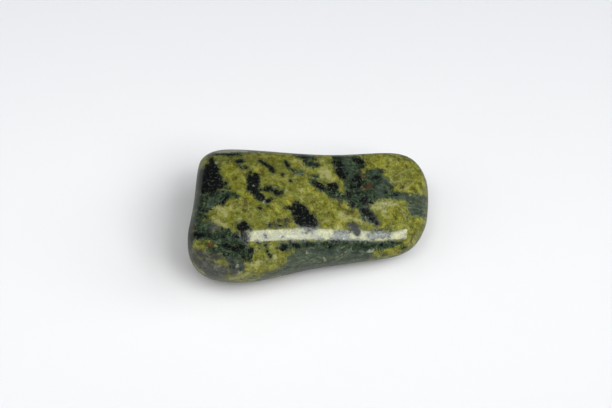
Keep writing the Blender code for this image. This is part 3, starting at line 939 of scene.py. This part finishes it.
# Soft lamps all round, which the polish doesn't show, and the softbox in three parts that only the
# polish shows, as a gleam. A lamp hangs far off, leaning to the right of straight up by lean degrees and
# rising over the top from the front by rise, and is turned about its own axis. Its spread is how wide
# it looks from the stone, in degrees, and its power is for a lamp at one metre.
Lamp = namedtuple("Lamp", "name lean rise turn spread power gleam")
LAMPS = (
    Lamp("key", 29.4, 55.7, 0.0, (30.0, 30.0), 6.13, False),
    Lamp("overhead", 0.0, 70.7, 0.0, (52.0, 30.0), 5.48, False),
    Lamp("right_side", 53.0, 90.0, 0.0, (44.0, 30.0), 3.45, False),
    Lamp("left_card", -57.4, 69.9, 0.0, (50.0, 50.0), 3.03, False),
    Lamp("back_card", -16.9, 110.7, 0.0, (44.0, 44.0), 0.96, False),
    Lamp("softbox_window", 35.3, 78.5, 8.0, (21.5, 32.0), 4.9, True),
    Lamp("softbox_rim", 31.5, 78.0, 8.0, (29.0, 33.0), 0.96, True),
    Lamp("softbox_corner", 51.4, 63.7, 22.0, (8.0, 25.0), 1.0, True),
)
LAMP_DISTANCE = 6.0
GLEAM_COLOUR = (0.97, 1.0, 0.98)

# The room's colour, and how bright it is as light, in the polish, and behind the stone.
ROOM_COLOUR = (0.97, 0.985, 1.0, 1.0)
ROOM_STRENGTHS = (0.0, 0.02, 0.66)


def floor_material():
    """Matt white paper, with a painted falloff of light: its colour darker away from a bright spot."""
    graph = Graph("studio_floor")
    offset = graph.vector("SUBTRACT", graph.place, (0.0, FLOOR_BRIGHTEST, 0.0))
    away = graph.node("ShaderNodeVectorMath", operation="LENGTH")
    graph.feed(away.inputs[0], graph.vector("MULTIPLY", offset, (FLOOR_STRETCH, 1.0, 0.0)))
    # Painted falloff of light: the colour darkens with distance from the bright spot.
    far = graph.fade(away.outputs["Value"], FLOOR_NEAR[0], FLOOR_FAR[0])
    colour = graph.mix(far, FLOOR_NEAR[1], FLOOR_FAR[1])
    grain = graph.fade(graph.noise(FLOOR_GRAIN[0]), 0.3, 0.7, 0.0, FLOOR_GRAIN[1])
    colour = graph.mix(grain, colour, FLOOR_FAR[1])
    seen = graph.node("ShaderNodeLightPath").outputs["Is Glossy Ray"]
    fades = graph.fade(away.outputs["Value"], *POLISH_FADE)
    polish = graph.mix(fades, FLOOR_IN_POLISH, ROOM_IN_POLISH)
    colour = graph.mix(seen, colour, polish)
    graph.feed(graph.shader.inputs["Base Color"], colour)
    graph.shader.inputs["Roughness"].default_value = FLOOR_ROUGHNESS
    graph.shader.inputs["Specular IOR Level"].default_value = FLOOR_SPECULAR
    return graph.material


def lay_floor():
    """A wide pale floor, just under the stone."""
    plane = bmesh.new()
    bmesh.ops.create_grid(plane, x_segments=1, y_segments=1, size=FLOOR_HALF)
    mesh = bpy.data.meshes.new("floor")
    plane.to_mesh(mesh)
    mesh.transform(Matrix.Translation((0.0, 0.0, -FLOOR_DROP)))
    mesh.materials.append(floor_material())
    floor = put("floor", mesh)


def lamp_axes(lean, rise):
    """Across the lamp to the right, over the top to the back, and towards the lamp."""
    way = Vector((math.sin(lean), -math.cos(lean) * math.cos(rise), math.cos(lean) * math.sin(rise)))
    back = Vector((0.0, math.sin(rise), math.cos(rise)))
    return back.cross(way), back, way


def hang_lamp(lamp):
    """A rectangular lamp that looks at the middle of the stone's base."""
    light = bpy.data.lights.new(lamp.name, "AREA")
    light.shape = "RECTANGLE"
    light.size, light.size_y = (2.0 * LAMP_DISTANCE * math.tan(math.radians(0.5 * spread))
                                for spread in lamp.spread)
    light.energy = lamp.power * LAMP_DISTANCE ** 2
    hung = put(lamp.name, light)
    axes = lamp_axes(math.radians(lamp.lean), math.radians(lamp.rise))
    hung.matrix_world = (Matrix.Translation(axes[2] * LAMP_DISTANCE)
                         @ Matrix(axes).transposed().to_4x4()
                         @ Matrix.Rotation(math.radians(lamp.turn), 4, "Z"))
    if lamp.gleam:
        light.color = GLEAM_COLOUR
    hung.visible_diffuse = not lamp.gleam
    hung.visible_glossy = lamp.gleam
    hung.visible_camera = False


def fill_room():
    """A pale horizon for the camera, and a dark room in the reflections."""
    world = bpy.data.worlds.new("room")
    world.use_nodes = True
    bpy.context.scene.world = world
    nodes, links = world.node_tree.nodes, world.node_tree.links
    nodes.clear()
    path = nodes.new("ShaderNodeLightPath")
    output = nodes.new("ShaderNodeOutputWorld")
    layers = [nodes.new("ShaderNodeBackground") for _ in ROOM_STRENGTHS]
    for layer, strength in zip(layers, ROOM_STRENGTHS):
        layer.inputs["Color"].default_value = ROOM_COLOUR
        layer.inputs["Strength"].default_value = strength
    shown = layers[0].outputs[0]
    for ray, layer in (("Is Glossy Ray", layers[1]), ("Is Camera Ray", layers[2])):
        blend = nodes.new("ShaderNodeMixShader")
        links.new(path.outputs[ray], blend.inputs[0])
        links.new(shown, blend.inputs[1])
        links.new(layer.outputs[0], blend.inputs[2])
        shown = blend.outputs[0]
    links.new(shown, output.inputs["Surface"])


def set_camera():
    """The camera at the picture's viewing angle."""
    lens = bpy.data.cameras.new("camera")
    lens.lens = FOCAL_LENGTH
    lens.sensor_width = SENSOR_WIDTH
    lens.clip_start = NEAR_CLIP
    camera = put("camera", lens)
    camera.location = AIM + TOWARDS * CAMERA_DISTANCE
    camera.rotation_euler = TOWARDS.to_track_quat("Z", "Y").to_euler()
    bpy.context.scene.camera = camera


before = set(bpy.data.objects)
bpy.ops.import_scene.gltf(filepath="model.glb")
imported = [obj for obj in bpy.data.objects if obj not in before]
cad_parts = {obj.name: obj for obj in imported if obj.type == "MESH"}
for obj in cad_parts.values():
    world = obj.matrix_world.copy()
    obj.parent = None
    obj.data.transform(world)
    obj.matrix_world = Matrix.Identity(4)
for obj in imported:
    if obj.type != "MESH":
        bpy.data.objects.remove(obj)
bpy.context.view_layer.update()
set_camera()
bpy.context.scene.view_settings.view_transform = "Standard"
stone = stone_object()
stone.data.materials.append(serpentine())
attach(stone, "root")
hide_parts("stone")
lay_floor()
for lamp in LAMPS:
    hang_lamp(lamp)
fill_room()
